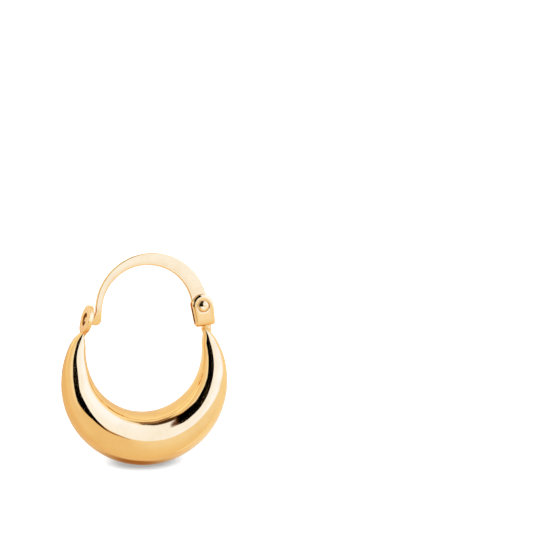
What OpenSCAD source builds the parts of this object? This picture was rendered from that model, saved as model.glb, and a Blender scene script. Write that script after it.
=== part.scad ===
// Hollow hoop earring: a puffed crescent with a hinged ear wire that closes in a catch eye.
// It is drawn standing in the plane of the hoop (X right, Z up, front towards -Y) around the centre of the
// crescent's outer outline, and then laid down on its back, as it rests by itself.

/* [Crescent] */
// Width of the crescent's outer outline
hoop_w = 14.15; // [12:0.05:16]
// Height of the ellipse that the outer outline follows
hoop_h = 13.87; // [12:0.05:16]
// Width of the ellipse that the opening follows
opening_w = 9.90; // [8:0.05:10.5]
// Height of the ellipse that the opening follows
opening_h = 10.04; // [8:0.05:10.5]
// How far the centre of the opening lies above the centre of the outer outline
opening_rise = 2.58; // [2.3:0.02:2.8]
// Front to back depth at the bottom of the crescent, its fattest place
puff_depth = 4.99; // [3:0.05:6]
// Front to back depth at the two points
point_depth = 0.97; // [0.6:0.02:1.2]
// Turn from the bottom of the crescent to where its points begin to be drawn in
point_angle = 121; // [116:0.5:123]
// Further turn to the very tip
tip_angle = 8.5; // [5:0.5:9]
// Share of the width that is left at the very tip
tip_share = 0.30; // [0.2:0.05:0.9]
// Share of the depth that is left at the very tip
tip_depth_share = 0.72; // [0.5:0.02:0.9]
// How far the very tip leans outwards
tip_lean = 0.12; // [0:0.01:0.2]
// Shape of the cross-section: 2 is an ellipse, less is a sharper lens
section_power = 1.86; // [1.6:0.02:2.2]
// Thickness of the sheet gold
wall = 0.20; // [0.15:0.01:0.3]
// Turn from the bottom to where the hollow ends
hollow_angle = 114; // [90:1:116]

/* [Catch eye] */
// Diameter of the eye
eye_d = 2.45; // [2:0.05:3]
// Diameter of its hole
eye_hole_d = 1.08; // [0.8:0.05:1.3]
// Thickness of the eye
eye_t = 0.43; // [0.3:0.01:0.6]
// Place of the middle of the eye's outer face, to the left of the hoop's centre
eye_x = 5.06; // [5:0.01:5.2]
// Height of the middle of the eye's outer face over the hoop's centre
eye_z = 5.47; // [5.3:0.01:5.6]
// Width of the bevel round the eye's rim
eye_bevel = 0.08; // [0.02:0.01:0.15]
// Diameter of the solder neck between the eye and the crescent's left point
eye_neck_d = 0.38; // [0.3:0.01:0.6]
// Lean of the eye's top inwards over the opening
eye_lean = 16; // [10:1:20]
// Turn of the eye's face to the front
eye_turn = 2.7; // [0:0.1:6]

/* [Hinge bracket] */
// Place of the hinge's axis to the right of the hoop's centre
hinge_x = 4.98; // [4.8:0.01:5.1]
// Height of the hinge's axis over the hoop's centre
hinge_z = 6.27; // [6.2:0.01:6.5]
// Width of the cheeks at the hinge's axis
cheek_w = 1.80; // [1.5:0.02:2]
// Width of the cheeks at the bottom of the bracket
cheek_foot_w = 1.64; // [1.3:0.02:2]
// How far the middle of the cheeks' round top lies above the hinge's axis
cheek_top_rise = 0.10; // [0:0.01:0.2]
// Thickness of the cheeks
cheek_t = 0.22; // [0.18:0.01:0.3]
// Gap between the cheeks
cheek_gap = 0.66; // [0.6:0.01:0.8]
// Height of the hinge's axis above the bottom of the bracket
axis_h = 1.67; // [1.5:0.02:2]
// Lean of the bracket's top to the left
bracket_lean = 8; // [0:1:15]
// How far the neck stands to the right of the bracket's middle
neck_shift = 0.08; // [0:0.01:0.15]
// Diameter of the neck that joins the bracket to the crescent
neck_d = 0.80; // [0.6:0.02:1]

/* [Rivet] */
// Diameter of the rivet's shank
rivet_d = 0.60; // [0.4:0.02:0.7]
// Diameter of its heads
rivet_head_d = 0.98; // [0.8:0.02:1.2]
// Height of each head
rivet_head_h = 0.14; // [0.1:0.01:0.2]
// Height of the upright rim under each head's dome
rivet_rim_h = 0.04; // [0.02:0.01:0.06]

/* [Ear wire] */
// Radius of the arch's outer edge
wire_outer_r = 4.77; // [4.7:0.01:4.9]
// Place of that edge's centre to the right of the hoop's centre
wire_outer_x = 0.66; // [0.55:0.01:0.7]
// Height of that edge's centre over the hoop's centre
wire_outer_z = 6.04; // [5.9:0.01:6.2]
// Radius of the arch's inner edge
wire_inner_r = 3.87; // [3.8:0.01:3.95]
// Place of that edge's centre to the right of the hoop's centre
wire_inner_x = 0.26; // [0.2:0.01:0.3]
// Height of that edge's centre over the hoop's centre
wire_inner_z = 5.97; // [5.9:0.01:6.1]
// Thickness of the wire at the hinge, front to back
wire_hinge_t = 0.60; // [0.5:0.01:0.62]
// Thickness of the wire at the catch, front to back
wire_catch_t = 0.50; // [0.4:0.01:0.6]
// Radius of the round knuckle about the rivet
knuckle_r = 0.66; // [0.6:0.01:0.7]
// Width of the wire at the catch
wire_end_w = 0.66; // [0.5:0.01:0.7]
// Width of the wire's foot, below the bend
foot_w = 0.54; // [0.44:0.01:0.6]
// Radius of the round heel at the catch
heel_r = 0.45; // [0.35:0.01:0.55]
// Place of the heel's inner edge to the left of the hoop's centre
heel_x = 3.65; // [3.6:0.01:3.75]
// Gap between the wire's foot and the catch eye
foot_gap = 0.06; // [0.03:0.01:0.1]
// How far the pin's end lies below the eye's outer face
pin_inset = 0.06; // [0:0.01:0.2]
// Diameter of the pin that stands in the catch eye
catch_pin_d = 0.44; // [0.3:0.01:0.5]
// Clearance between the wire's bore and the rivet, all round
bore_gap = 0.03; // [0.01:0.01:0.06]

/* [Rest] */
// Tilt of the hoop's plane as it lies, the crescent's end the higher
rest_tilt = 8.05; // [7:0.01:9]
// Roll of the hoop's plane as it lies, the left side the higher
rest_roll = 1.86; // [1:0.01:3]
// Height of the hoop's centre over the surface, as it lies
rest_height = 1.84; // [1.5:0.001:2.5]
// How far the hoop's centre lies from the middle of the whole, towards the crescent
rest_offset = 1.93; // [1.5:0.001:2.5]

/* [Hidden] */

$fn = 64;
// Rings along the crescent and points round each ring, of its skin and of its hollow
skin_rings = 64;
skin_sides = 32;
hollow_rings = 32;
hollow_sides = 16;
// A little more, to cut clean through a face
over = 0.05;
// Gap that keeps the rivet clear of the cheeks, all round
rivet_gap = 0.01;
full_angle = point_angle + tip_angle;
hinge_half = cheek_gap / 2 + cheek_t;
// The way the catch eye faces, and the middle of its hole
eye_way = [-cos(eye_lean), 0, sin(eye_lean)];
eye_middle = [-eye_x, 0, eye_z] - eye_way * eye_t / 2;
// Across that way, towards the top
eye_up = [sin(eye_lean), 0, cos(eye_lean)];
// The heel's middle, placed so that the foot under it lies in line with the hole
heel_rise = heel_r - foot_w / 2;
heel_mid_x = -heel_x - heel_r;
heel_run = (eye_middle[0] + eye_up[0] * heel_rise - heel_mid_x) / eye_way[0];
heel = eye_middle + eye_up * heel_rise - eye_way * heel_run;
foot_l = heel_run - eye_t / 2 - foot_gap;
pin_root = heel - eye_up * heel_rise;
pin_tip = eye_middle + eye_way * (eye_t / 2 - pin_inset);

// Distance from the hoop's centre to the outer outline, at an angle from straight down
function outer_at(a) = 1 / norm([sin(a) / (hoop_w / 2), cos(a) / (hoop_h / 2)]);
// Distance from the hoop's centre to the edge of the opening, at an angle from straight down: where the ray
// meets the opening's ellipse, which is centred higher
function opening_at(a) =
    let (
        square_term = pow(sin(a) / (opening_w / 2), 2) + pow(cos(a) / (opening_h / 2), 2),
        linear_term = 2 * cos(a) * opening_rise / pow(opening_h / 2, 2),
        fixed_term = pow(opening_rise / (opening_h / 2), 2) - 1
    )
    (-linear_term + sqrt(pow(linear_term, 2) - 4 * square_term * fixed_term)) / (2 * square_term);
// How far a point is drawn in: 0 where it begins and 1 at the very tip
function drawn(a) = pow(max(0, abs(a) - point_angle) / tip_angle, 2);
// Half the width of the crescent in the hoop's plane
function half_width(a) = (outer_at(a) - opening_at(a)) / 2 * (1 - (1 - tip_share) * drawn(a));
// Half its depth from front to back
function half_depth(a) =
    (point_depth + (puff_depth - point_depth) * cos(90 * min(1, abs(a) / full_angle))) / 2
    * (1 - (1 - tip_depth_share) * drawn(a));
// Distance from the hoop's centre to the middle of the crescent
function middle_at(a) = (outer_at(a) + opening_at(a)) / 2 + tip_lean * drawn(a);
// The middle of the crescent, at an angle from straight down
function crescent_middle(a) = [sin(a), 0, -cos(a)] * middle_at(a);
// A sine or cosine bent to the section's shape
function bent(s) = sign(s) * pow(abs(s), 2 / section_power);
// One ring of points round the crescent, drawn in from its skin by an inset
function ring(a, sides, inset) = [
    for (j = [0:sides - 1])
        let (
            turn = 360 * j / sides,
            reach = middle_at(a) + (half_width(a) - inset) * bent(cos(turn))
        )
        [reach * sin(a), (half_depth(a) - inset) * bent(sin(turn)), -reach * cos(a)]
];

// A closed tube through rings from one end angle to the other
module crescent_tube(end_angle, rings, sides, inset) {
    points = [for (i = [0:rings]) each ring(end_angle * (2 * i / rings - 1), sides, inset)];
    walls = [
        for (i = [0:rings - 1])
            for (j = [0:sides - 1])
                let (k = (j + 1) % sides)
                [i * sides + j, (i + 1) * sides + j, (i + 1) * sides + k, i * sides + k]
    ];
    ends = [
        [for (j = [0:sides - 1]) j],
        [for (j = [sides - 1:-1:0]) rings * sides + j]
    ];
    polyhedron(points = points, faces = concat(walls, ends), convexity = 6);
}

module crescent() {
    difference() {
        crescent_tube(full_angle, skin_rings, skin_sides, 0);
        crescent_tube(hollow_angle, hollow_rings, hollow_sides, wall);
    }
}

// Round rod from one point of the hoop's plane to another
module rod(from, to, d) {
    way = to - from;
    translate(from)
        rotate([0, atan2(way[0], way[2]), 0])
            cylinder(h = norm(way), d = d);
}

// Puts its children on the middle of the eye's outer face, +Z pointing outwards
module at_eye() {
    translate([-eye_x, 0, eye_z])
        rotate([0, 0, eye_turn])
            rotate([0, eye_lean - 90, 0])
                children();
}

module catch_eye() {
    at_eye()
        translate([0, 0, -eye_t])
            rotate_extrude()
                polygon([
                    [eye_hole_d / 2, 0],
                    [eye_d / 2 - eye_bevel, 0],
                    [eye_d / 2, eye_bevel],
                    [eye_d / 2, eye_t - eye_bevel],
                    [eye_d / 2 - eye_bevel, eye_t],
                    [eye_hole_d / 2, eye_t]
                ]);
}

// Joins the eye's rim to the crescent's left point
module eye_neck() {
    rod(crescent_middle(-point_angle), eye_middle - eye_up * (eye_d - eye_neck_d) / 2, eye_neck_d);
}

// Puts its children on the hinge's axis, in the bracket's own lean
module at_hinge() {
    translate([hinge_x, 0, hinge_z]) rotate([0, -bracket_lean, 0]) children();
}

// Turns an outline that is drawn in X and Z so that it is as thick as given, front to back
module front_to_back(thickness) {
    rotate([90, 0, 0]) linear_extrude(height = thickness, center = true) children();
}

module cheek_outline() {
    translate([0, cheek_top_rise]) circle(d = cheek_w);
    polygon([
        [-cheek_w / 2, cheek_top_rise],
        [-cheek_foot_w / 2, -axis_h],
        [cheek_foot_w / 2, -axis_h],
        [cheek_w / 2, cheek_top_rise]
    ]);
}

module hinge_bracket() {
    at_hinge()
        difference() {
            front_to_back(2 * hinge_half) cheek_outline();
            translate([0, 0, cheek_t])
                cube([2 * cheek_w, cheek_gap, 2 * axis_h], center = true);
            rotate([90, 0, 0])
                cylinder(h = 2 * hinge_half + 2 * over, d = rivet_d + 2 * rivet_gap, center = true);
        }
}

// Joins the bracket's bottom to the crescent's right point
module bracket_neck() {
    top = [
        hinge_x + axis_h * sin(bracket_lean) + neck_shift,
        0,
        hinge_z - (axis_h - cheek_t / 2) * cos(bracket_lean)
    ];
    rod(crescent_middle(point_angle), top, neck_d);
}

module hoop_body() {
    color("gold") {
        crescent();
        catch_eye();
        eye_neck();
        hinge_bracket();
        bracket_neck();
    }
}

module hinge_rivet() {
    head_foot = hinge_half + rivet_gap;
    dome_h = rivet_head_h - rivet_rim_h;
    dome_r = (pow(rivet_head_d / 2, 2) + pow(dome_h, 2)) / (2 * dome_h);
    color("goldenrod")
        at_hinge()
            rotate([90, 0, 0]) {
                cylinder(h = 2 * head_foot + over, d = rivet_d, center = true);
                for (side = [0, 1])
                    mirror([0, 0, side])
                        intersection() {
                            translate([0, 0, head_foot]) cylinder(h = rivet_head_h, d = rivet_head_d);
                            translate([0, 0, head_foot + rivet_head_h - dome_r]) sphere(r = dome_r);
                        }
            }
}

// Outline of the wire from the knuckle over the arch to the heel, in X and Z
module wire_outline() {
    difference() {
        translate([wire_outer_x, wire_outer_z]) circle(r = wire_outer_r, $fn = 128);
        translate([wire_inner_x, wire_inner_z]) circle(r = wire_inner_r, $fn = 128);
        translate([-hoop_w, wire_inner_z - 2 * hoop_h]) square([2 * hoop_w, 2 * hoop_h]);
    }
    polygon([
        [wire_outer_x - wire_outer_r, wire_outer_z + over],
        [wire_inner_x - wire_inner_r, wire_outer_z + over],
        [-heel_x, heel[2]],
        [-heel_x - wire_end_w, heel[2]]
    ]);
    translate([heel[0], heel[2]])
        rotate(-eye_lean) {
            circle(r = heel_r);
            translate([-foot_l, -heel_r]) square([foot_l, foot_w]);
        }
}

// What the wire keeps between its thick end and its thin end, seen from above
module wire_taper() {
    linear_extrude(height = 2 * hoop_h)
        polygon([
            [heel[0] - hoop_w / 2, -wire_catch_t / 2],
            [heel[0], -wire_catch_t / 2],
            [hinge_x - cheek_w, -wire_hinge_t / 2],
            [hoop_w, -wire_hinge_t / 2],
            [hoop_w, wire_hinge_t / 2],
            [hinge_x - cheek_w, wire_hinge_t / 2],
            [heel[0], wire_catch_t / 2],
            [heel[0] - hoop_w / 2, wire_catch_t / 2]
        ]);
}

module ear_wire() {
    color("gold") {
        difference() {
            union() {
                intersection() {
                    front_to_back(cheek_gap) wire_outline();
                    wire_taper();
                }
                translate([hinge_x, 0, hinge_z])
                    rotate([90, 0, 0])
                        cylinder(h = wire_hinge_t, r = knuckle_r, center = true);
            }
            translate([hinge_x, 0, hinge_z])
                rotate([90, 0, 0])
                    cylinder(h = cheek_gap + 2 * over, d = rivet_d + 2 * bore_gap, center = true);
        }
        rod(pin_root, pin_tip, catch_pin_d);
    }
}

// Lays the standing hoop on its back
module lying() {
    translate([0, -rest_offset, rest_height])
        rotate([-rest_tilt, 0, 0])
            rotate([0, rest_roll, 0])
                rotate([-90, 0, 0])
                    children();
}

lying() hoop_body();
lying() hinge_rivet();
lying() ear_wire();
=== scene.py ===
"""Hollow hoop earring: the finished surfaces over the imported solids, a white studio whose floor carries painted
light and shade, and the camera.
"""
import math

import bmesh
import bpy
import numpy as np
from mathutils import Matrix


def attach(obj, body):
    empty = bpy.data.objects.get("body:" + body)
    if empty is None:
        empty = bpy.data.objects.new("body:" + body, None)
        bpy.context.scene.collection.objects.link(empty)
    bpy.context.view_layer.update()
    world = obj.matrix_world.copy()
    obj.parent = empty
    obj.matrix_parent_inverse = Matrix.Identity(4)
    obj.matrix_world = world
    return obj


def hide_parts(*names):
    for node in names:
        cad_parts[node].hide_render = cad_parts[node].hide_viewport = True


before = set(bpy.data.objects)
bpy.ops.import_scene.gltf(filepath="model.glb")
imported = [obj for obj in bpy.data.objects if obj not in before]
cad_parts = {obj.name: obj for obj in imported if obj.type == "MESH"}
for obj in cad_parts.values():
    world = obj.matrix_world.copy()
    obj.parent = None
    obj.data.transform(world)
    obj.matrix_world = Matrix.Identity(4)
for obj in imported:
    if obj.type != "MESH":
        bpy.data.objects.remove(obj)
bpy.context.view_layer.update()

MM = 0.001

# Sizes are in millimetres and degrees. The hoop is worked out standing: X right, Z up, its front towards -Y, around
# its outer outline's centre. Angles along the crescent run from straight down, to the right.

# The crescent: its outer outline, its opening and how deep it is at the belly and at the points
HOOP_W, HOOP_H = 14.15, 13.87
OPENING_W, OPENING_H, OPENING_RISE = 9.90, 10.04, 2.58
PUFF_DEPTH, POINT_DEPTH = 4.99, 0.97
# Its two tips, past the points: how long they are and how much narrower and shallower they end
POINT_ANGLE, TIP_ANGLE = 121.0, 8.5
TIP_SHARE, TIP_DEPTH_SHARE, TIP_LEAN = 0.30, 0.72, 0.12
FULL_ANGLE = POINT_ANGLE + TIP_ANGLE
# Its section, which gets flatter faces and leaning crests from an angle on
SECTION_POWER, TIP_POWER = 1.86, 2.7
TIPWARD_FROM, TIPWARD_OVER = 84, 32
RIGHT_SKEW, LEFT_SKEW, LEFT_SKEW_OVER = 0.10, -0.22, 22
LEFT_TIP_FROM, LEFT_TIP_OVER, LEFT_TIP_SHIFT = 92, 26, 0.09

# The catch eye
EYE_D, EYE_HOLE_D, EYE_T = 2.45, 1.08, 0.43
EYE_X, EYE_Z = 5.06, 5.47
EYE_LEAN, EYE_TURN = 16.0, 2.7

# The hinge: its axis, the bracket and the rivet
HINGE_X, HINGE_Z = 4.98, 6.27
CHEEK_W, CHEEK_FOOT_W, CHEEK_TOP_RISE = 1.80, 1.64, 0.10
CHEEK_T, CHEEK_GAP, AXIS_H = 0.22, 0.66, 1.67
BRACKET_LEAN, NECK_SHIFT = 8.0, 0.08
HINGE_HALF = CHEEK_GAP / 2 + CHEEK_T
RIVET_D, RIVET_HEAD_D, RIVET_HEAD_H, RIVET_RIM_H, RIVET_GAP = 0.60, 0.98, 0.14, 0.04, 0.01

# The ear wire: the two circles of its arch, its thickness, and its knuckle, heel, foot and pin
WIRE_OUTER_R, WIRE_OUTER_X, WIRE_OUTER_Z = 4.77, 0.66, 6.04
WIRE_INNER_R, WIRE_INNER_X, WIRE_INNER_Z = 3.87, 0.26, 5.97
WIRE_HINGE_T, WIRE_CATCH_T = 0.60, 0.50
KNUCKLE_R, WIRE_END_W, FOOT_W, HEEL_R, HEEL_X = 0.66, 0.66, 0.54, 0.45, 3.65
FOOT_GAP, PIN_INSET, PIN_D = 0.06, 0.06, 0.44
# Its front face is level at one height, leans back evenly from another on, and bends back below the first
FACE_LEVEL_Z, FACE_LEAN_Z = 5.6, 6.6
FACE_LEAN, HEEL_BEND = 0.045, 0.09

# How the hoop lies
REST_TILT, REST_ROLL, REST_HEIGHT, REST_OFFSET = 8.05, 1.86, 1.84, 1.93

# The camera, fitted to the photograph: its yaw, elevation and roll about the standing hoop, the pixel of the
# hoop's centre, and pixels per millimetre
CAM_YAW, CAM_RISE, CAM_ROLL = 12.74, 6.48, 0.47
FRAME_PX, CENTRE_PX, PX_PER_MM = 533, (144.29, 382.24), 12.0
CAM_DISTANCE_MM, SENSOR_W = 1600.0, 36.0


def sin_d(a):
    return np.sin(np.radians(a))


def cos_d(a):
    return np.cos(np.radians(a))


def eased(share):
    """0 to 1 with a soft start and a soft end."""
    share = np.clip(share, 0, 1)
    return share * share * (3 - 2 * share)


def turn_about(axis, degrees):
    return np.array(Matrix.Rotation(math.radians(degrees), 3, axis))


# From the standing hoop to the hoop as it lies on its back
LYING = turn_about("X", -REST_TILT) @ turn_about("Y", REST_ROLL) @ turn_about("X", -90)
LYING_SHIFT = np.array([0.0, -REST_OFFSET, REST_HEIGHT])


def lay(points):
    """Standing millimetres to metres in the row frame."""
    return (np.asarray(points, float) @ LYING.T + LYING_SHIFT) * MM


# How far the two necks run into what they carry
EYE_NECK_SINK, BRACKET_NECK_SINK = 0.10, 0.02


# Pieces
def make_piece(name, points, faces, material, body, node, facts=None):
    """A smooth mesh from standing points, riding on a body in place of a node. facts are floats per point."""
    mesh = bpy.data.meshes.new(name)
    mesh.from_pydata(lay(points).tolist(), [], faces)
    mesh.polygons.foreach_set("use_smooth", [True] * len(mesh.polygons))
    for key, values in (facts or {}).items():
        mesh.attributes.new(key, "FLOAT", "POINT").data.foreach_set("value", np.asarray(values, np.float32))
    mesh.materials.append(material)
    mesh.validate()
    mesh.update()
    piece = bpy.data.objects.new(name, mesh)
    bpy.context.scene.collection.objects.link(piece)
    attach(piece, body)
    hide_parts(node)
    return piece


def grid_faces(rows, columns, round_rows=False, round_columns=True, start=0):
    """Quads between rows of points; a round direction joins its last to its first."""
    faces = []
    for i in range(rows if round_rows else rows - 1):
        for j in range(columns if round_columns else columns - 1):
            i2, j2 = (i + 1) % rows, (j + 1) % columns
            faces.append((start + i * columns + j, start + i2 * columns + j,
                          start + i2 * columns + j2, start + i * columns + j2))
    return faces


def outward(points, faces):
    """The faces of a closed mesh, turned over if they face inwards."""
    p = np.asarray(points)
    volume = sum(np.dot(p[f[0]], np.cross(p[f[i]], p[f[i + 1]])) for f in faces for i in range(1, len(f) - 1))
    return faces if volume > 0 else [tuple(reversed(f)) for f in faces]


def weld(piece, within_mm):
    """Joins points that lie together, and turns every face outwards."""
    made = bmesh.new()
    made.from_mesh(piece.data)
    bmesh.ops.remove_doubles(made, verts=made.verts, dist=within_mm * MM)
    bmesh.ops.recalc_face_normals(made, faces=made.faces)
    made.to_mesh(piece.data)
    made.free()


def ripple(a, b, scale):
    """A faint unevenness of worked sheet, the same each run."""
    return scale * (np.sin(0.11 * a + 1.3 + 0.9 * np.sin(np.radians(2 * b)))
                    + 0.6 * np.sin(0.23 * a - np.radians(3 * b) + 0.4)
                    + 0.5 * np.sin(0.31 * a + np.radians(5 * b) + 2.1)) / 2


# The crescent
def outer_at(a):
    """Radius of the outer outline, an ellipse about the origin."""
    return 1 / np.hypot(sin_d(a) / (HOOP_W / 2), cos_d(a) / (HOOP_H / 2))


def opening_at(a):
    """Radius of the opening, an ellipse whose middle is OPENING_RISE above the origin."""
    square = (sin_d(a) / (OPENING_W / 2)) ** 2 + (cos_d(a) / (OPENING_H / 2)) ** 2
    linear = 2 * cos_d(a) * OPENING_RISE / (OPENING_H / 2) ** 2
    fixed = (OPENING_RISE / (OPENING_H / 2)) ** 2 - 1
    return (-linear + np.sqrt(linear ** 2 - 4 * square * fixed)) / (2 * square)


def drawn(a):
    """How far the tip is drawn out: 0 up to its point, 1 at its end."""
    return (np.maximum(0, abs(a) - POINT_ANGLE) / TIP_ANGLE) ** 2


def half_width(a):
    return (outer_at(a) - opening_at(a)) / 2 * (1 - (1 - TIP_SHARE) * drawn(a))


def half_depth(a):
    puff = POINT_DEPTH + (PUFF_DEPTH - POINT_DEPTH) * cos_d(90 * np.minimum(1, abs(a) / FULL_ANGLE))
    return puff / 2 * (1 - (1 - TIP_DEPTH_SHARE) * drawn(a))


def middle_at(a):
    """Radius of the section's middle."""
    left = np.clip((-a - LEFT_TIP_FROM) / LEFT_TIP_OVER, 0, 1) ** 2
    return (outer_at(a) + opening_at(a)) / 2 + TIP_LEAN * drawn(a) + LEFT_TIP_SHIFT * left


def crescent_middle(a):
    return np.array([sin_d(a), 0.0, -cos_d(a)]) * middle_at(a)


def bent(s, power=SECTION_POWER):
    """A sine or cosine bent to a superellipse of the power."""
    return np.sign(s) * np.abs(s) ** (2 / power)


def make_crescent(material):
    rings, sides, cap_rings, cap_length = 360, 144, 8, 0.10
    unevenness, calm_end, gathering, pinhole_over = 0.006, 20, 9, 20
    far = 9.0
    # The two tips are rounded off by a few more rings
    turns = np.linspace(90 / cap_rings, 90, cap_rings)
    cap = np.full(cap_rings, FULL_ANGLE)
    a = np.concatenate([-cap, np.linspace(-FULL_ANGLE, FULL_ANGLE, rings), cap])
    lift = np.concatenate([-sin_d(turns[::-1]), np.zeros(rings), sin_d(turns)])[:, None] * cap_length
    shrink = np.concatenate([cos_d(turns[::-1]), np.ones(rings), cos_d(turns)])[:, None]
    shrink = np.maximum(shrink, 0.001)
    # Sides gather towards the two edges, where the section bends most
    t = np.linspace(0, 360, sides, endpoint=False)
    t = t - gathering * sin_d(2 * t)
    angle, girth = np.meshgrid(a, t, indexing="ij")
    uneven = ripple(angle, girth, unevenness) * np.minimum(1, (FULL_ANGLE - abs(angle)) / calm_end)
    # Towards the tips the faces are flatter, and their crests lean to the right
    tipward = eased((abs(angle) - TIPWARD_FROM) / TIPWARD_OVER)
    right_lean = RIGHT_SKEW * eased((angle - TIPWARD_FROM) / TIPWARD_OVER)
    left_lean = LEFT_SKEW * eased((-angle - TIPWARD_FROM) / LEFT_SKEW_OVER)
    skew = (right_lean + left_lean) * sin_d(girth) ** 2
    power = SECTION_POWER + (TIP_POWER - SECTION_POWER) * tipward
    reach = middle_at(angle) + (half_width(angle) * shrink + uneven) * (bent(cos_d(girth)) + skew)
    across = (half_depth(angle) * shrink + uneven) * bent(sin_d(girth), power)
    points = np.stack([reach * sin_d(angle) + lift * cos_d(angle), across,
                       -reach * cos_d(angle) + lift * sin_d(angle)], -1).reshape(-1, 3)
    faces = grid_faces(len(a), sides)
    faces.append(tuple(range(sides)))
    faces.append(tuple(len(points) - sides + j for j in range(sides)[::-1]))
    # How near the outer seam is, against the depth of the hoop there
    edge = np.abs(across) * np.maximum(1, 1 / half_depth(angle))
    facts = {
        "outer_seam": np.where(cos_d(girth) > 0, edge, far).ravel(),
        "left_tip": np.clip((-angle.ravel() - LEFT_TIP_FROM) / pinhole_over, 0, 1),
    }
    make_piece("crescent", points, outward(points, faces), material, "hoop", "hoop_body", facts)


# Turned shapes
def lathe(profile, steps=96):
    """Points and faces of a closed profile of (radius, height) turned about Z; a radius of 0 closes a pole."""
    turn = np.linspace(0, 360, steps, endpoint=False)
    points = np.array([[(r * cos_d(t), r * sin_d(t), h) for t in turn] for r, h in profile])
    return points.reshape(-1, 3), grid_faces(len(profile), steps, round_rows=True)


def rod_profile(sections):
    """A closed profile from (radius, height) sections that begins and ends on the axis."""
    return [(1e-4, sections[0][1])] + list(sections) + [(1e-4, sections[-1][1])]


def corner(r, h, radius, begin, end, steps=6):
    """Points of a round corner about (r, h), in (radius, height)."""
    return [(r + radius * cos_d(w), h + radius * sin_d(w)) for w in np.linspace(begin, end, steps)]


def polar(points):
    """Angle about Z and distance from Z of each point."""
    return np.arctan2(points[:, 1], points[:, 0]), np.hypot(points[:, 0], points[:, 1])


def to_place(points, rotation, origin):
    return np.asarray(points) @ np.asarray(rotation).T + np.asarray(origin)


def along(way):
    """Rotation that takes +Z to a way in the hoop's plane."""
    return turn_about("Y", math.degrees(math.atan2(way[0], way[2])))


# The catch eye: the way through its hole, its way up and its middle
EYE_WAY = np.array([-cos_d(EYE_LEAN), 0.0, sin_d(EYE_LEAN)])
EYE_UP = np.array([sin_d(EYE_LEAN), 0.0, cos_d(EYE_LEAN)])
EYE_MIDDLE = np.array([-EYE_X, 0.0, EYE_Z]) - EYE_WAY * EYE_T / 2
EYE_TURNED = turn_about("Z", EYE_TURN) @ turn_about("Y", EYE_LEAN - 90)


def make_eye(material):
    rim, hole_rim, flat_from, dish = 0.09, 0.07, 0.03, 0.012
    out, hole, t = EYE_D / 2, EYE_HOLE_D / 2, EYE_T
    profile = (
        corner(out - rim, -t + rim, rim, -90, 0)
        + corner(out - rim, -rim, rim, 0, 90)
        + [(out - rim - flat_from, 0.0), ((out + hole) / 2, -dish), (hole + hole_rim + flat_from, 0.0)]
        + corner(hole + hole_rim, -hole_rim, hole_rim, 90, 180)
        + corner(hole + hole_rim, -t + hole_rim, hole_rim, 180, 270)
        + [(hole + hole_rim + flat_from, -t), (out - rim - flat_from, -t)]
    )
    points, faces = lathe(profile, 128)
    # A hand-made disc: not quite round, its faces not quite flat
    turn, reach = polar(points)
    outer_share = np.clip((reach - hole) / (out - hole), 0, 1)
    scale = 1 + 0.010 * outer_share * np.sin(3 * turn + 0.6) + 0.006 * np.sin(5 * turn + 2.0)
    points[:, :2] *= scale[:, None]
    points[:, 2] += 0.010 * outer_share * np.sin(2 * turn + 1.1)
    placed = to_place(points, EYE_TURNED, (-EYE_X, 0, EYE_Z))
    depth = -points[:, 2]
    # Painted shade: the hole's wall darkens inwards, and the front face and hole inside the outer rim are a redder
    # gold than the rim
    facts = {
        "grime_and_shade": np.clip((hole + hole_rim * 0.8 - reach) / 0.04, 0, 1) * np.clip(depth / 0.06, 0, 1),
        "painted_shade": np.clip((out - rim * 0.7 - reach) / 0.05, 0, 1) * (depth < EYE_T / 2),
        "worn": 0.4 * np.clip((reach - (out - rim)) / 0.05, 0, 1),
    }
    make_piece("catch_eye", placed, outward(placed, faces), material, "hoop", "hoop_body", facts)


def make_neck(name, start, end, sections, material, squash=1.0):
    """A soldered neck: sections are (share of the way, radius), a little uneven round its girth."""
    rings, sides, smoothings = 40, 64, 14
    way = np.asarray(end) - np.asarray(start)
    length = np.linalg.norm(way)
    shares = np.linspace(0, 1, rings)
    radii = np.interp(shares, [s for s, _ in sections], [r for _, r in sections])
    # Smooth the profile, so that the fillets run in softly
    for _ in range(smoothings):
        radii[1:-1] = (radii[:-2] + 2 * radii[1:-1] + radii[2:]) / 4
    points, faces = lathe(rod_profile([(r, s * length) for r, s in zip(radii, shares)]), sides)
    turn, _ = polar(points)
    swell = 1 + 0.05 * np.sin(2 * turn + 9 * points[:, 2]) + 0.04 * np.sin(3 * turn - 14 * points[:, 2] + 1)
    points[:, 0] *= swell
    points[:, 1] *= swell * squash
    placed = to_place(points, along(way), start)
    make_piece(name, placed, outward(placed, faces), material, "hoop", "hoop_body")


# The hinge bracket: a strip of sheet bent into a U, its two ends rounded into cheeks
def at_hinge(points):
    return to_place(points, turn_about("Y", -BRACKET_LEAN), (HINGE_X, 0, HINGE_Z))


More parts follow.
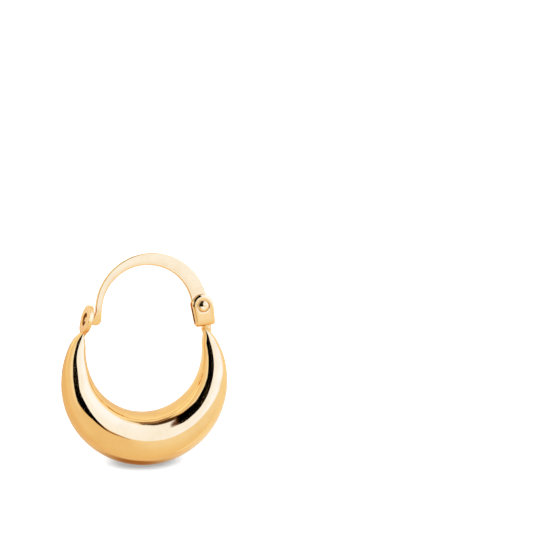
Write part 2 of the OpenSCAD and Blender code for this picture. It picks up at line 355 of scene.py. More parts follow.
def make_bracket(material):
    face_out, edge_r, back_round, rounding = 0.03, 0.04, 0.03, 0.28
    chamfer_slope, side_chamfer, top_chamfer, chamfer_ease = 0.63, 0.13, 0.20, 0.018
    sink, sink_w = 0.020, 0.06
    half_t, mid_y = CHEEK_T / 2, HINGE_HALF - CHEEK_T / 2
    bend_r = 0.30
    foot_z = -AXIS_H + half_t + bend_r
    rim_turns = np.linspace(0, 90, 22)

    # The rim, up one side, over the round top and down the other, with its way inwards
    top_r = CHEEK_W / 2
    foot_half = CHEEK_FOOT_W / 2
    left = [(-(foot_half + (top_r - foot_half) * s), foot_z + (CHEEK_TOP_RISE - foot_z) * s, 1.0, 0.0)
            for s in np.linspace(0, 1, 14, endpoint=False)]
    arc = [(top_r * cos_d(w), CHEEK_TOP_RISE + top_r * sin_d(w), -cos_d(w), -sin_d(w))
           for w in np.linspace(180, 0, 61)]
    right = [(-x, z, -nx, nz) for x, z, nx, nz in reversed(left)]
    rim = np.array(left + arc + right)
    # The chamfer is widest over the top
    chamfer = side_chamfer + (top_chamfer - side_chamfer) * eased((rim[:, 1] + 0.25) / 0.95)
    floor_x = np.linspace(foot_half - rounding, -(foot_half - rounding), 25)[1:-1]

    def offsets(layer, inset, width):
        """Where a face of the sheet lies from its middle, at a distance from the rim."""
        if layer == 0:
            # A chamfer that eases into the face, and a small round at its edge
            fall = chamfer_slope * chamfer_ease * np.log1p(np.exp((width - inset) / chamfer_ease))
            near = edge_r - np.clip(inset, 0, edge_r)
            return half_t + face_out - fall - edge_r + np.sqrt(np.maximum(0, edge_r ** 2 - near ** 2))
        d = np.clip(inset, 0, back_round)
        return -half_t + back_round - np.sqrt(back_round ** 2 - (back_round - d) ** 2)

    def relief(x, z):
        """The face sinks a little against the rivet."""
        return -sink * np.exp(-((np.hypot(x, z) - RIVET_HEAD_D / 2) / sink_w) ** 2)

    points, faces, glossy = [], [], []

    def add_cheek(side):
        """side -1 is the front cheek and 1 the back one. The weld joins what it adds to the rest."""
        for layer in (0, 1):
            base = len(points)
            # The rounded rim
            for turn in rim_turns:
                inset = np.full(len(rim), rounding * (1 - cos_d(turn)))
                x, z = rim[:, 0] + rim[:, 2] * inset, rim[:, 1] + rim[:, 3] * inset
                off = offsets(layer, inset, chamfer)
                points.extend([(px, side * (mid_y + o), pz) for px, pz, o in zip(x, z, off)])
                glossy.extend([1.0 if layer == 0 else 0.3] * len(rim))
            faces.extend(grid_faces(len(rim_turns), len(rim), round_columns=False, start=base))
            # The flat, from the rim and the foot's line in to the rivet
            x, z = rim[:, 0] + rim[:, 2] * rounding, rim[:, 1] + rim[:, 3] * rounding
            loop = np.array(list(zip(x, z)) + [(fx, foot_z) for fx in floor_x])
            turn = np.degrees(np.arctan2(loop[:, 1], loop[:, 0]))
            hub = np.stack([cos_d(turn), sin_d(turn)], -1) * (RIVET_D / 2 + RIVET_GAP)
            base = len(points)
            shares = np.concatenate([[0, 0.04], np.linspace(0.1, 1, 22)])
            for share in shares:
                ring = loop * (1 - share) + hub * share
                if layer == 0:
                    off = half_t + face_out + relief(ring[:, 0], ring[:, 1]) * min(1, share / 0.04)
                else:
                    off = np.full(len(ring), -half_t)
                points.extend([(p[0], side * (mid_y + o), p[1]) for p, o in zip(ring, off)])
                glossy.extend([max(0.0, 1 - share / 0.15) if layer == 0 else 0.0] * len(ring))
            faces.extend(grid_faces(len(shares), len(loop), start=base))
        # The wall between the two layers, round the rim
        base = len(points)
        for layer in (0, 1):
            off = np.broadcast_to(offsets(layer, 0.0, chamfer), len(rim))
            points.extend([(px, side * (mid_y + o), pz) for px, pz, o in zip(rim[:, 0], rim[:, 1], off)])
            glossy.extend([0.5] * len(rim))
        faces.extend(grid_faces(2, len(rim), round_columns=False, start=base))

    add_cheek(-1)
    add_cheek(1)

    # The bend under the cheeks: one row across the strip at each step of its path
    bend = [(-mid_y + bend_r - bend_r * cos_d(w), foot_z - bend_r * sin_d(w), cos_d(w), sin_d(w))
            for w in np.linspace(0, 90, 13)]
    bend += [(-y, z, -ny, nz) for y, z, ny, nz in reversed(bend)]
    insets = rounding * (1 - cos_d(rim_turns))
    across = [inset - foot_half for inset in insets] + list(floor_x[::-1])
    across += [foot_half - inset for inset in reversed(insets)]
    for layer in (0, 1):
        base = len(points)
        for y, z, ny, nz in bend:
            for x in across:
                off = offsets(layer, foot_half - abs(x), side_chamfer)
                points.append((x, y - ny * off, z - nz * off))
                glossy.append(0.4)
        faces.extend(grid_faces(len(bend), len(across), round_columns=False, start=base))
    for x in (-foot_half, foot_half):
        base = len(points)
        for layer in (0, 1):
            off = offsets(layer, 0.0, side_chamfer)
            points.extend([(x, y - ny * off, z - nz * off) for y, z, ny, nz in bend])
            glossy.extend([0.5] * len(bend))
        faces.extend(grid_faces(2, len(bend), round_columns=False, start=base))

    placed = at_hinge(points)
    reach = np.array([math.hypot(x, z) for x, _, z in points])
    # A dark ring round the rivet head: grime and painted shade where the head meets the cheek
    facts = {"glossy": glossy, "grime_and_shade": 0.6 * np.exp(-((reach - RIVET_HEAD_D / 2 - 0.01) / 0.045) ** 2)}
    piece = make_piece("hinge_bracket", placed, faces, material, "hoop", "hoop_body", facts)
    weld(piece, 0.002)


def make_rivet(material):
    foot = HINGE_HALF + RIVET_GAP
    head_r, edge, dome_h = RIVET_HEAD_D / 2, 0.04, 0.115
    side_lean, level_lean = 0.18, 0.045
    dome_r = (head_r ** 2 + dome_h ** 2) / (2 * dome_h)
    dome = [(r, foot + RIVET_HEAD_H - dome_r + math.sqrt(dome_r ** 2 - r ** 2))
            for r in np.linspace(head_r - edge, 0.001, 16)]
    rim = corner(head_r - edge, foot + RIVET_HEAD_H - dome_h - edge, edge, -10, 70, 7)
    shank = [(RIVET_D / 2, 0.0), (RIVET_D / 2, foot - 0.02), (RIVET_D / 2, foot)]
    upper = shank + [(head_r - 0.06, foot)] + rim + dome
    profile = [(r, -h) for r, h in reversed(upper[1:])] + upper
    points, faces = lathe(profile, 96)
    # The head was hammered over: its dome has soft flats
    turn, reach = polar(points)
    reach = reach / head_r
    head = np.abs(points[:, 2]) > foot + RIVET_RIM_H
    dent = 0.012 * np.sin(2 * turn + 0.7) * reach ** 2 + 0.006 * np.sin(3 * turn + 1.9) * reach
    lean = side_lean * points[:, 0] * (1 - np.minimum(1, reach) ** 6)
    # and its lower half is nearly flat
    flat = 1 - eased((points[:, 1] + 0.03) / 0.08)
    share = np.minimum(1, reach * head_r / (head_r - edge))
    level = dome_h * (share ** 2 - share ** 7) * (reach * head_r <= head_r - edge + 1e-6)
    change = lean * (1 - flat) - np.abs(dent) * (1 - 0.7 * flat) + (level - level_lean * points[:, 1]) * flat
    points[:, 2] += np.sign(points[:, 2]) * head * change
    placed = at_hinge(to_place(points, turn_about("X", 90), (0, 0, 0)))
    # Its rim is worn, and its edge dark where it meets the cheek: grime and painted shade
    facts = {"worn": np.clip((reach - 0.84) / 0.10, 0, 1), "grime_and_shade": 0.8 * np.clip((reach - 0.90) / 0.05, 0, 1)}
    make_piece("hinge_rivet_finish", placed, outward(placed, faces), material, "hoop", "hinge_rivet", facts)


# The ear wire: the middle of its round heel, and the foot from there to the eye
HEEL_RISE = HEEL_R - FOOT_W / 2
HEEL_RUN = (EYE_MIDDLE[0] + EYE_UP[0] * HEEL_RISE + HEEL_X + HEEL_R) / EYE_WAY[0]
HEEL = EYE_MIDDLE + EYE_UP * HEEL_RISE - EYE_WAY * HEEL_RUN
FOOT_L = HEEL_RUN - EYE_T / 2 - FOOT_GAP


def wire_face(x, z, side):
    """How far the wire's front or back face lies from its middle. The front thins towards the top and the heel."""
    share = np.clip((x - HEEL[0]) / (HINGE_X - CHEEK_W - HEEL[0]), 0, 1)
    half = (WIRE_CATCH_T + (WIRE_HINGE_T - WIRE_CATCH_T) * share) / 2
    if side > 0:
        return half
    if z < FACE_LEVEL_Z:
        return half - HEEL_BEND * (z - FACE_LEVEL_Z) ** 2
    # The lean sets in evenly between the two heights
    bend = FACE_LEAN / (2 * (FACE_LEAN_Z - FACE_LEVEL_Z))
    return half - bend * (min(z, FACE_LEAN_Z) - FACE_LEVEL_Z) ** 2 - FACE_LEAN * max(0.0, z - FACE_LEAN_Z)


def circle_hit(origin, angle, centre, radius):
    """Where the ray from the origin at the angle meets a circle round it."""
    way = np.array([cos_d(angle), sin_d(angle)])
    off = np.asarray(origin) - np.asarray(centre)
    b = np.dot(way, off)
    return np.asarray(origin) + way * (-b + math.sqrt(b * b - np.dot(off, off) + radius * radius))


def side_of(ways):
    """Unit ways to the inner side of an outline that runs anticlockwise."""
    ways = ways / np.maximum(np.linalg.norm(ways, axis=-1, keepdims=True), 1e-9)
    return np.stack([-ways[:, 1], ways[:, 0]], -1)


def round_corner(point, back, on, radius, steps):
    """An arc in place of a square corner: back is the way it was come from, and on the way it goes on."""
    centre = point + back * radius + on * radius
    return [centre - on * radius * cos_d(w) - back * radius * sin_d(w) for w in np.linspace(0, 90, steps)]


def wire_outline():
    """The strip's outline in X and Z, as its outer side, foot, inner side and knuckle. The sides have equal counts."""
    foot_r, heel_inset, heel_rise = 0.115, 0.005, 0.10
    middle = ((WIRE_OUTER_X + WIRE_INNER_X) / 2, WIRE_OUTER_Z)
    sweep = np.linspace(9, 180, 150)
    outer = [circle_hit(middle, w, (WIRE_OUTER_X, WIRE_OUTER_Z), WIRE_OUTER_R) for w in sweep]
    inner = [circle_hit(middle, w, (WIRE_INNER_X, WIRE_INNER_Z), WIRE_INNER_R) for w in sweep]
    # The leg under the arch, down to the heel. Its outer edge ends on the top of the foot
    lean = np.array([-cos_d(EYE_LEAN), sin_d(EYE_LEAN)])
    down = np.array([-sin_d(EYE_LEAN), -cos_d(EYE_LEAN)])
    heel = np.array([HEEL[0], HEEL[2]])
    foot_side = -down * (FOOT_W - HEEL_R)
    crotch_at = (heel[0] + foot_side[0] + HEEL_X + WIRE_END_W) / -lean[0]
    leg_outer = heel + lean * crotch_at + foot_side
    leg_inner = np.array([-HEEL_X + heel_inset, heel[1] + heel_rise])
    legs = np.linspace(0, 1, 9)[1:]
    outer_end, inner_end = outer[-1], inner[-1]
    outer += [outer_end * (1 - s) + leg_outer * s for s in legs]
    inner += [inner_end * (1 - s) + leg_inner * s for s in legs]
    # The foot, out to the eye, and the round heel under it
    foot_end = heel + lean * FOOT_L
    foot = round_corner(foot_end + foot_side, -lean, down, foot_r, 6)
    foot += round_corner(foot_end + down * HEEL_R, -down, -lean, foot_r, 6)
    heel_turns = np.linspace(math.degrees(math.atan2(down[1], down[0])), 2, 22)
    foot += [heel + HEEL_R * np.array([cos_d(w), sin_d(w)]) for w in heel_turns]
    # The knuckle about the rivet, from just past the inner side's start to just before the outer side's
    hinge = np.array([HINGE_X, HINGE_Z])
    inner_drop, outer_drop, inner_skip, outer_skip = 0.10, 0.02, 24, 22
    start = math.degrees(math.atan2(inner[0][1] - hinge[1] - inner_drop, inner[0][0] - hinge[0]))
    end = math.degrees(math.atan2(outer[0][1] - hinge[1] - outer_drop, outer[0][0] - hinge[0]))
    turns = np.linspace(start % 360 + inner_skip, 360 + end - outer_skip, 30)
    knuckle = [hinge + KNUCKLE_R * np.array([cos_d(w), sin_d(w)]) for w in turns]
    return outer, foot, inner, knuckle


def make_wire(material):
    edge, flat_start, columns, crown, ramp_rows = 0.075, 0.03, 9, 0.004, 12
    heel_share, heel_top, heel_over = 0.35, 5.8, 0.7
    wave, wave_from, wave_over = 0.008, 6.9, 1.5
    outer, foot, inner, knuckle = wire_outline()
    rows = len(outer)
    outline = np.array(outer + foot + inner[::-1] + knuckle)
    count = len(outline)

    # Rings drawn in from the outline, for the rounded edge, and one more for the start of the flat
    turns = np.linspace(90, 0, 6)
    insets = list(edge * (1 - cos_d(90 - turns))) + [edge + flat_start]
    falls = list(edge * (1 - sin_d(90 - turns))) + [0.0]
    before = side_of(outline - np.roll(outline, 1, 0))
    after = side_of(np.roll(outline, -1, 0) - outline)
    mitre = (before + after) / (1 + (before * after).sum(-1, keepdims=True))
    points, faces, painted_shade = [], [], []
    for side in (-1, 1):
        base = len(points)
        for inset, fall in zip(insets, falls):
            points.extend([(x, side * (wire_face(x, z, side) - fall), z) for x, z in outline + mitre * inset])
            # Painted reflection: the rounded edges turn a redder gold towards the outline, standing in for the shaded
            # floor they mirror
            painted_shade.extend([1 - min(1.0, inset / edge)] * count)
        faces.extend(grid_faces(len(insets), count, start=base))
        last = base + (len(insets) - 1) * count
        ring = outline + mitre * insets[-1]
        # Columns across the strip, slightly crowned except near its two ends
        table = []
        for i in range(rows):
            on_outer, on_inner = i, rows + len(foot) + (rows - 1 - i)
            ramp = min(1.0, i / ramp_rows, (rows - 1 - i) / ramp_rows)
            row = [last + on_outer]
            for j in range(1, columns):
                share = j / columns
                x, z = ring[on_outer] * (1 - share) + ring[on_inner] * share
                bulge = 4 * crown * share * (1 - share) * ramp
                row.append(len(points))
                points.append((x, side * (wire_face(x, z, side) + bulge), z))
                painted_shade.append(0.0)
            row.append(last + on_inner)
            table.append(row)
        for upper, lower in zip(table, table[1:]):
            faces.extend([(upper[j], upper[j + 1], lower[j + 1], lower[j]) for j in range(columns)])
        heel_face = [last + rows + k for k in range(len(foot))]
        faces.append(tuple([table[-1][0]] + heel_face + table[-1][::-1][:-1]))
        knuckle_face = [last + 2 * rows + len(foot) + k for k in range(len(knuckle))]
        faces.append(tuple(knuckle_face + table[0]))
    # The wall between the two rounded edges
    other = len(points) // 2
    faces.extend([(k, (k + 1) % count, other + (k + 1) % count, other + k) for k in range(count)])
    points = np.array(points)
    # Painted shade: the heel is a deeper, redder gold than the arch, more so downwards
    painted_shade = np.maximum(painted_shade, heel_share * eased((heel_top - points[:, 2]) / heel_over))
    # A hand-bent strip: it waves a little out of its plane
    waving = np.clip((points[:, 2] - wave_from) / wave_over, 0, 1)
    points[:, 1] += wave * np.sin(0.9 * points[:, 0] + 0.5) * waving
    piece = make_piece("ear_wire_strip", points, faces, material, "ear_wire", "ear_wire", {"painted_shade": painted_shade})
    weld(piece, 0.0005)


def make_pin(material):
    """The pin that stands in the eye, with a rounded end."""
    root = HEEL - EYE_UP * HEEL_RISE
    tip = EYE_MIDDLE + EYE_WAY * (EYE_T / 2 - PIN_INSET)
    length = np.linalg.norm(tip - root)
    r, end_r = PIN_D / 2, 0.10
    shaft = [(r, 0.0), (r, FOOT_L - 0.03), (r, FOOT_L + 0.05), (r, length - end_r)]
    profile = rod_profile(shaft + corner(r - end_r, length - end_r, end_r, 0, 85)[1:])
    points, faces = lathe(profile, 48)
    placed = to_place(points, along(tip - root), root)
    make_piece("ear_wire_pin", placed, outward(placed, faces), material, "ear_wire", "ear_wire")


# Materials
class Nodes:
    """A small helper that adds nodes to a tree and joins them."""

    def __init__(self, tree):
        self.tree = tree

    def add(self, kind, inputs=None, **settings):
        node = self.tree.nodes.new(kind)
        for key, value in settings.items():
            setattr(node, key, value)
        for key, value in (inputs or {}).items():
            self.put(node.inputs[key], value)
        return node

    def put(self, socket, value):
        if isinstance(value, bpy.types.NodeSocket):
            self.tree.links.new(value, socket)
        else:
            socket.default_value = value

    def math(self, operation, *values, clamp=False):
        node = self.add("ShaderNodeMath", operation=operation, use_clamp=clamp)
        for socket, value in zip(node.inputs, values):
            self.put(socket, value)
        return node.outputs[0]

    def blend(self, factor, a, b):
        node = self.add("ShaderNodeMix", data_type="RGBA")
        for key, value in ((0, factor), (6, a), (7, b)):
            self.put(node.inputs[key], value)
        return node.outputs[2]

    def span(self, value, low, high, to_low=0.0, to_high=1.0, kind="SMOOTHSTEP"):
        node = self.add("ShaderNodeMapRange", interpolation_type=kind)
        ends = (("Value", value), ("From Min", low), ("From Max", high), ("To Min", to_low), ("To Max", to_high))
        for key, v in ends:
            self.put(node.inputs[key], v)
        return node.outputs[0]

    def noise(self, place, scale, detail, roughness=0.5):
        values = {"Vector": place, "Scale": scale, "Detail": detail, "Roughness": roughness}
        return self.add("ShaderNodeTexNoise", values).outputs[0]

    def fact(self, name):
        return self.add("ShaderNodeAttribute", attribute_name=name).outputs["Fac"]

    def in_mm(self):
        """The place on the object, in millimetres."""
        place = self.add("ShaderNodeTexCoord").outputs["Object"]
        return self.add("ShaderNodeMapping", {"Vector": place, "Scale": (1 / MM, 1 / MM, 1 / MM)}).outputs[0]


GOLD = (0.955, 0.590, 0.200, 1)
GOLD_DEEP = (0.86, 0.47, 0.13, 1)
GOLD_IN_SHADE = (0.88, 0.42, 0.055, 1)
GOLD_DARK = (0.42, 0.17, 0.04, 1)
GRIME_AND_SHADE = (0.30, 0.10, 0.015, 1)
PINHOLE = (0.05, 0.02, 0.008, 1)
BLACK = (0.0, 0.0, 0.0, 1)
LEAST_ROUGHNESS = 0.02


def gold(name, smooth, rough, grain_mm, grain_depth, scratch_depth, seams=False, soldered=0.0, rims=False):
    """Worked gold: smudged gloss, fine grain, hairline scratches and, on the crescent, its soldered seam."""
    material = bpy.data.materials.new(name)
    material.use_nodes = True
    tree = material.node_tree
    tree.nodes.clear()
    n = Nodes(tree)
    out = n.add("ShaderNodeOutputMaterial")
    shader = n.add("ShaderNodeBsdfPrincipled", {"Metallic": 1.0})
    tree.links.new(shader.outputs[0], out.inputs[0])
    in_mm = n.in_mm()

    smudge = n.noise(in_mm, 0.55, 4.0, 0.6)
    fine = n.noise(in_mm, 1 / grain_mm, 5.0, 0.65)
    drawn_out = n.add("ShaderNodeMapping", {"Vector": in_mm, "Scale": (0.5, 9.0, 6.0), "Rotation": (0.3, 0.2, 0.9)})
    scratch = n.span(n.noise(drawn_out.outputs[0], 2.4, 3.0, 0.7), 0.63, 0.70)

    gloss = n.span(smudge, 0.35, 0.68, smooth, rough)
    gloss = n.math("ADD", gloss, n.math("MULTIPLY", scratch, 0.03))
    colour = n.blend(n.span(smudge, 0.40, 0.75, 0.0, 0.35), GOLD, GOLD_DEEP)
    colour = n.blend(n.math("MULTIPLY", n.span(fine, 0.55, 0.80), 0.25), colour, GOLD_DEEP)
    height = n.math("MULTIPLY", fine, grain_depth)
    height = n.math("SUBTRACT", height, n.math("MULTIPLY", scratch, scratch_depth))

    # What the pieces say of themselves: worn rims, painted shade as a redder gold, and grime with painted shade
    gloss = n.math("ADD", gloss, n.math("MULTIPLY", n.fact("worn"), 0.22))
    # Painted shade and painted reflection: a redder gold on the eye's face and on the wire's edges and heel
    colour = n.blend(n.math("MULTIPLY", n.fact("painted_shade"), n.span(fine, 0.30, 0.60, 0.5, 1.0)), colour, GOLD_IN_SHADE)
    patchy = n.span(n.noise(in_mm, 2.2, 2.0), 0.38, 0.62, 0.35, 1.0)
    # Dark brown in the eye's hole, painted shade, and round the rivet head's edge, grime and painted shade, a little
    # patchy
    colour = n.blend(n.math("MULTIPLY", n.fact("grime_and_shade"), patchy), colour, GRIME_AND_SHADE)

    if rims:
        rim = n.fact("glossy")
        gloss = n.math("MULTIPLY", gloss, n.span(rim, 0.0, 1.0, 1.0, 0.25, "LINEAR"))
        height = n.math("MULTIPLY", height, n.span(rim, 0.0, 1.0, 1.0, 0.3, "LINEAR"))

    if soldered:
        lumps = n.noise(in_mm, 3.2, 3.0)
        height = n.math("ADD", height, n.math("MULTIPLY", lumps, soldered))
        pocks = n.add("ShaderNodeTexVoronoi", {"Vector": in_mm, "Scale": 3.6, "Randomness": 1.0})
        pock = n.span(pocks.outputs["Distance"], 0.10, 0.17, 1.0, 0.0)
        height = n.math("SUBTRACT", height, n.math("MULTIPLY", pock, soldered * 0.8))
        colour = n.blend(n.math("MULTIPLY", pock, 0.7), colour, GOLD_DARK)

    if seams:
        seam = n.fact("outer_seam")
        off = n.math("MULTIPLY", n.math("SUBTRACT", n.noise(in_mm, 1.6, 4.0), 0.5), 0.10)
        breaks = n.span(n.noise(in_mm, 0.7, 2.0), 0.40, 0.52, 0.25, 1.0)
        near = n.math("ADD", seam, off)
        line = n.math("MULTIPLY", n.span(near, 0.015, 0.05, 1.0, 0.0), breaks)
        band = n.span(near, 0.05, 0.26, 1.0, 0.0)
        height = n.math("SUBTRACT", height, n.math("MULTIPLY", line, 0.010))
        colour = n.blend(n.math("MULTIPLY", line, 0.8), colour, GOLD_DARK)
        colour = n.blend(n.math("MULTIPLY", band, 0.30), colour, GOLD_DEEP)
        gloss = n.math("ADD", gloss, n.math("MULTIPLY", band, 0.10))
        # Pinholes that the solder left along the seam near the left tip
        hole = n.math("MULTIPLY", n.span(n.noise(in_mm, 3.4, 1.0), 0.55, 0.60), n.span(seam, 0.04, 0.12, 1.0, 0.0))
        hole = n.math("MULTIPLY", hole, n.fact("left_tip"))
        colour = n.blend(hole, colour, PINHOLE)
        height = n.math("SUBTRACT", height, n.math("MULTIPLY", hole, 0.03))

    bump = n.add("ShaderNodeBump", {"Height": height, "Strength": 1.0, "Distance": MM})
    n.put(shader.inputs["Base Color"], colour)
    n.put(shader.inputs["Roughness"], n.math("MAXIMUM", gloss, LEAST_ROUGHNESS))
    n.put(shader.inputs["Normal"], bump.outputs[0])
    return material


# The studio. A region is a convex outline, given as its corners, anticlockwise, and the width over which each of its
# edges fades. In the surroundings these are directions laid out flat, in degrees: the distance from the middle is
# the angle from straight up.
BOX = ([(-9, 4.5), (81, 3), (81, 38), (70, 59), (45, 76), (18, 81), (-4, 80), (-9, 30)],
       [5, 24, 20, 12, 12, 8, 5, 2])
CARD_LOW = ([(-74, -2), (-9, -4.5), (-9, 31), (-46, 31), (-74, 12)], [2.5, 1.5, 3, 5, 8])
CARD_HIGH = ([(-50, 28), (-9, 28), (6.5, 48), (3.5, 60), (-5, 75), (-11, 84), (-50, 51)], [3, 3, 5, 10, 6, 6, 6])
STRIP = ([(-28, 70), (28, 82), (42, 91), (26, 101), (0, 99)], [5, 7, 8, 6, 5])
FRINGE = ([(-20, -6.5), (-5, -6.5), (3.5, -1.0), (3.5, 2.0), (-20, 0)], [3, 2.5, 3, 2.5, 3])
OVERHEAD = ([(-30, 12), (8, 12), (8, 52), (-30, 52)], [16, 14, 16, 14])

# On the floor and on the sheet over the hoop they are places, in millimetres
PAINTED_DARK_REFLECTION = ([(-4, 22), (12, 22), (150, 330), (-30, 330)], [12, 12, 50, 12])
REFLECTOR = ([(-200, -60), (-28, -60), (-23.5, -6), (-16.2, 21), (-16.4, 28), (-90, 385), (-200, 385)],
             [1, 2, 1.0, 2.0, 3.0, 20, 20])
REFLECTOR_BULGE = ([(-30, 5), (-20.5, 8), (-18.2, 12), (-18.2, 19), (-30, 25)], [1, 2, 1, 2, 1])
REFLECTOR_HEIGHT = 21.3

# The floor's shades are ellipses, as their middle and their radii
PAINTED_CONTACT_SHADOW = ((-0.5, -15.5), (6.8, 11.3))
UNDER_HOOP = ((0.5, -2.6), (6.9, 6.8))
INSIDE_HOOP = ((0.5, 0.0), (5.2, 5.3))
NEAR_SHADOW = ((0.37, -9.36), (4.63, 0.98))
FLOOR_HALF = 0.6


def half_plane(n, x, y, a, b, soft):
    """1 to the left of the line from a to b, 0 to its right, soft over a width."""
    way = np.subtract(b, a) / np.linalg.norm(np.subtract(b, a))
    nx, ny = -way[1], way[0]
    level = n.math("ADD", n.math("MULTIPLY", x, float(nx)), n.math("MULTIPLY", y, float(ny)))
    start = nx * a[0] + ny * a[1]
    return n.span(level, float(start - soft / 2), float(start + soft / 2))


def region(n, x, y, corners, softs):
    """1 inside a region, 0 outside."""
    mask = None
    for i, soft in enumerate(softs):
        side = half_plane(n, x, y, corners[i], corners[(i + 1) % len(corners)], soft)
        mask = side if mask is None else n.math("MULTIPLY", mask, side)
    return mask


def from_ellipse(n, place, middle, radii):
    """How far out a place lies on an ellipse's own scale: 0 at its middle, 1 on it."""
    (mx, my), (rx, ry) = middle, radii
    scaled = n.add("ShaderNodeMapping", {"Vector": place, "Location": (-mx / rx, -my / ry, 0.0),
                                         "Scale": (1 / rx, 1 / ry, 0.0)}).outputs[0]
    return n.add("ShaderNodeVectorMath", {0: scaled}, operation="LENGTH").outputs["Value"]


def flat_sheet(name, corners, material):
    """A sheet of one flat face, its corners in metres."""
    mesh = bpy.data.meshes.new(name)
    mesh.from_pydata(corners, [], [tuple(range(len(corners)))])
    mesh.materials.append(material)
    made = bpy.data.objects.new(name, mesh)
    bpy.context.scene.collection.objects.link(made)
    return made


def make_studio():
    """White surroundings, a large soft box over the hoop and a black card beside it."""
    world = bpy.data.worlds.new("studio")
    bpy.context.scene.world = world
    world.use_nodes = True
    tree = world.node_tree
    tree.nodes.clear()
    n = Nodes(tree)
    way = n.add("ShaderNodeSeparateXYZ", {0: n.add("ShaderNodeTexCoord").outputs["Generated"]})
    x, y, z = way.outputs
    level = n.math("SQRT", n.math("ADD", n.math("MULTIPLY", x, x), n.math("MULTIPLY", y, y)))
    from_top = n.math("DEGREES", n.math("ARCCOSINE", n.math("MINIMUM", n.math("MAXIMUM", z, -1.0), 1.0)))
    scale = n.math("DIVIDE", from_top, n.math("MAXIMUM", level, 1e-4))
    fx, fy = n.math("MULTIPLY", x, scale), n.math("MULTIPLY", y, scale)

    # Bare surroundings: whiter under the box, and warmer towards the floor
    room = n.blend(n.span(fx, -10.0, 40.0), (0.90, 0.87, 0.88, 1), (0.935, 0.92, 0.94, 1))
    spill = n.math("MULTIPLY", n.span(fy, -62.0, -8.0), n.span(fx, -6.0, 18.0))
    room = n.blend(spill, room, (0.97, 1.08, 1.42, 1))
    room = n.blend(n.span(fy, -100.0, -50.0, 1.0, 0.0), room, (0.87, 0.79, 0.68, 1))
    # The soft box, and a brown strip and a brown fringe beside it
    glow = n.blend(n.span(fx, 8.0, 45.0), (1.03, 1.46, 3.35, 1), (1.06, 1.60, 4.15, 1))
    mirrored = n.blend(region(n, fx, fy, *BOX), room, glow)
    mirrored = n.blend(region(n, fx, fy, *STRIP), mirrored, (0.07, 0.04, 0.02, 1))
    fringe = n.math("MULTIPLY", region(n, fx, fy, *FRINGE), 0.85)
    mirrored = n.blend(fringe, mirrored, (0.33, 0.16, 0.09, 1))
    # The card's edge runs to black through brown
    card = n.math("ADD", region(n, fx, fy, *CARD_LOW), region(n, fx, fy, *CARD_HIGH), clamp=True)
    mirrored = n.blend(n.span(card, 0.0, 0.55), mirrored, (0.17, 0.09, 0.09, 1))
    mirrored = n.blend(n.span(card, 0.45, 1.0), mirrored, BLACK)
    # The gold mirrors all that. What is lit has a plain soft box overhead, and the camera sees plain white
    spread = n.blend(region(n, fx, fy, *OVERHEAD), (0.38, 0.38, 0.38, 1), (10.0, 10.0, 10.0, 1))
    path = n.add("ShaderNodeLightPath")
    light = n.blend(path.outputs["Is Glossy Ray"], spread, mirrored)
    light = n.blend(path.outputs["Is Camera Ray"], light, (1.0, 1.0, 1.0, 1))
    back = n.add("ShaderNodeBackground", {"Color": light, "Strength": 1.0})
    n.add("ShaderNodeOutputWorld", {"Surface": back.outputs[0]})


def make_floor():
    paper = bpy.data.materials.new("paper")
    paper.use_nodes = True
    n = Nodes(paper.node_tree)
    shader = paper.node_tree.nodes["Principled BSDF"]
    in_mm = n.in_mm()
    x, y, _ = n.add("ShaderNodeSeparateXYZ", {0: in_mm}).outputs
    # What the gold mirrors of the paper is painted: darker than what the camera sees, whiter to the right and the
    # back, with a painted dark reflection behind the hoop and a painted contact shadow before it, where it touches
    slant = n.math("ADD", x, n.math("MULTIPLY", y, 0.6))
    white = n.math("MAXIMUM", n.span(slant, -5.0, 4.0, 0.0, 0.70), n.span(y, 0.0, 5.0))
    mirrored = n.blend(white, (0.575, 0.51, 0.46, 1), (0.70, 0.79, 0.90, 1))
    # Painted reflection of a dark thing, on the floor behind the hoop
    mirrored = n.blend(region(n, x, y, *PAINTED_DARK_REFLECTION), mirrored, (0.20, 0.10, 0.035, 1))
    # Painted contact shadow, dark brown, in an ellipse before the hoop
    before = n.span(from_ellipse(n, in_mm, *PAINTED_CONTACT_SHADOW), 0.2, 1.0)
    mirrored = n.blend(before, (0.24, 0.11, 0.035, 1), mirrored)
    path = n.add("ShaderNodeLightPath")
    shade = n.blend(path.outputs["Is Glossy Ray"], (0.74, 0.785, 0.82, 1), n.blend(0.75, mirrored, BLACK))
    # The paper glows too, painted light as if from a light table, but not under the hoop's lower part nor in an
    # ellipse just before it: so the shadow shows there alone, its place painted by this mask
    under = n.span(from_ellipse(n, in_mm, *UNDER_HOOP), 0.88, 0.99, 1.0, 0.0)
    under = n.math("MULTIPLY", under, n.span(from_ellipse(n, in_mm, *INSIDE_HOOP), 1.02, 1.12))
    under = n.math("MULTIPLY", under, n.span(y, -5.0, -2.5, 1.0, 0.0))
    shown = n.span(from_ellipse(n, in_mm, *NEAR_SHADOW), 0.32, 1.0)
    shown = n.math("MULTIPLY", shown, n.math("SUBTRACT", 1.0, under))
    paper_glow = n.blend(shown, BLACK, (0.58, 0.58, 0.58, 1))
    n.put(shader.inputs["Base Color"], shade)
    n.put(shader.inputs["Emission Color"], n.blend(path.outputs["Is Glossy Ray"], paper_glow, mirrored))
    shader.inputs["Emission Strength"].default_value = 1.1
    shader.inputs["Roughness"].default_value = 0.75
    shader.inputs["Specular IOR Level"].default_value = 0.2
    h = FLOOR_HALF
    floor = flat_sheet("floor", [(-h, -h, 0), (h, -h, 0), (h, h, 0), (-h, h, 0)], paper)


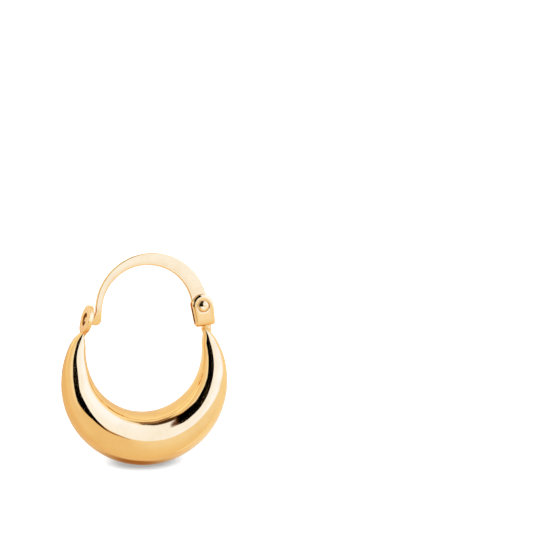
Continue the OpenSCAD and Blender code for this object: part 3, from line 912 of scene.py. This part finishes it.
def make_reflector():
    """A white sheet close over the hoop's left, seen only in reflections. Its edge ends the black beside the box."""
    material = bpy.data.materials.new("reflector")
    material.use_nodes = True
    tree = material.node_tree
    tree.nodes.clear()
    n = Nodes(tree)
    x, y, _ = n.add("ShaderNodeSeparateXYZ", {0: n.in_mm()}).outputs
    cover = n.math("MAXIMUM", region(n, x, y, *REFLECTOR), region(n, x, y, *REFLECTOR_BULGE))
    light = n.blend(n.math("MULTIPLY", n.span(x, -45.0, -20.0), n.span(y, -16.0, 0.0)),
                    (0.92, 0.91, 0.98, 1), (1.02, 1.20, 1.75, 1))
    lamp = n.add("ShaderNodeEmission", {"Color": light, "Strength": 1.0}).outputs[0]
    clear = n.add("ShaderNodeBsdfTransparent").outputs[0]
    both = n.add("ShaderNodeMixShader", {0: cover, 1: clear, 2: lamp}).outputs[0]
    n.add("ShaderNodeOutputMaterial", {"Surface": both})
    corners, _ = REFLECTOR
    card = flat_sheet("reflector", [(px * MM, py * MM, REFLECTOR_HEIGHT * MM) for px, py in corners], material)
    card.visible_camera = False
    card.visible_diffuse = False
    card.visible_shadow = False


def make_camera():
    right = np.array([cos_d(CAM_YAW), -sin_d(CAM_YAW), 0.0])
    up = np.array([sin_d(CAM_YAW) * sin_d(CAM_RISE), cos_d(CAM_YAW) * sin_d(CAM_RISE), cos_d(CAM_RISE)])
    right, up = (right * cos_d(CAM_ROLL) - up * sin_d(CAM_ROLL),
                 right * sin_d(CAM_ROLL) + up * cos_d(CAM_ROLL))
    right, up = LYING @ right, LYING @ up
    back = np.cross(right, up)
    to_right = (FRAME_PX / 2 - CENTRE_PX[0]) / PX_PER_MM
    to_top = (CENTRE_PX[1] - FRAME_PX / 2) / PX_PER_MM
    aim = LYING_SHIFT + right * to_right + up * to_top
    data = bpy.data.cameras.new("camera")
    data.sensor_width = SENSOR_W
    data.lens = SENSOR_W * CAM_DISTANCE_MM / (FRAME_PX / PX_PER_MM)
    camera = bpy.data.objects.new("camera", data)
    matrix = np.eye(4)
    matrix[:3, 0], matrix[:3, 1], matrix[:3, 2] = right, up, back
    matrix[:3, 3] = (aim + back * CAM_DISTANCE_MM) * MM
    camera.matrix_world = Matrix(matrix.tolist())
    bpy.context.scene.collection.objects.link(camera)
    bpy.context.scene.camera = camera


# The scene. Each gold is given its roughness where it is clean and where it is smudged, the size and the depth of its
# grain, and the depth of its scratches
polished = gold("gold_polished", 0.020, 0.040, 0.12, 0.0003, 0.0007, seams=True)
rolled = gold("gold_rolled", 0.045, 0.085, 0.10, 0.0006, 0.0010)
worked = gold("gold_worked", 0.14, 0.24, 0.14, 0.0060, 0.0015, soldered=0.040)
sheet = gold("gold_sheet", 0.16, 0.26, 0.12, 0.0030, 0.0015, rims=True)
soldered = gold("gold_soldered", 0.16, 0.26, 0.16, 0.0060, 0.0, soldered=0.05)

make_crescent(polished)
make_eye(worked)
neck_low = EYE_MIDDLE - EYE_UP * (EYE_D / 2 - EYE_NECK_SINK)
make_neck("eye_neck", crescent_middle(-POINT_ANGLE), neck_low,
          [(0, 0.16), (0.55, 0.20), (0.8, 0.20), (1, 0.30)], soldered, squash=1.25)
neck_top = at_hinge([[NECK_SHIFT, 0, -AXIS_H + BRACKET_NECK_SINK]])[0]
make_neck("bracket_neck", crescent_middle(POINT_ANGLE), neck_top,
          [(0, 0.30), (0.3, 0.36), (0.7, 0.38), (1, 0.46)], soldered)
make_bracket(sheet)
make_rivet(rolled)
make_wire(rolled)
make_pin(rolled)

make_floor()
make_studio()
make_reflector()
make_camera()
bpy.context.scene.view_settings.view_transform = "Standard"
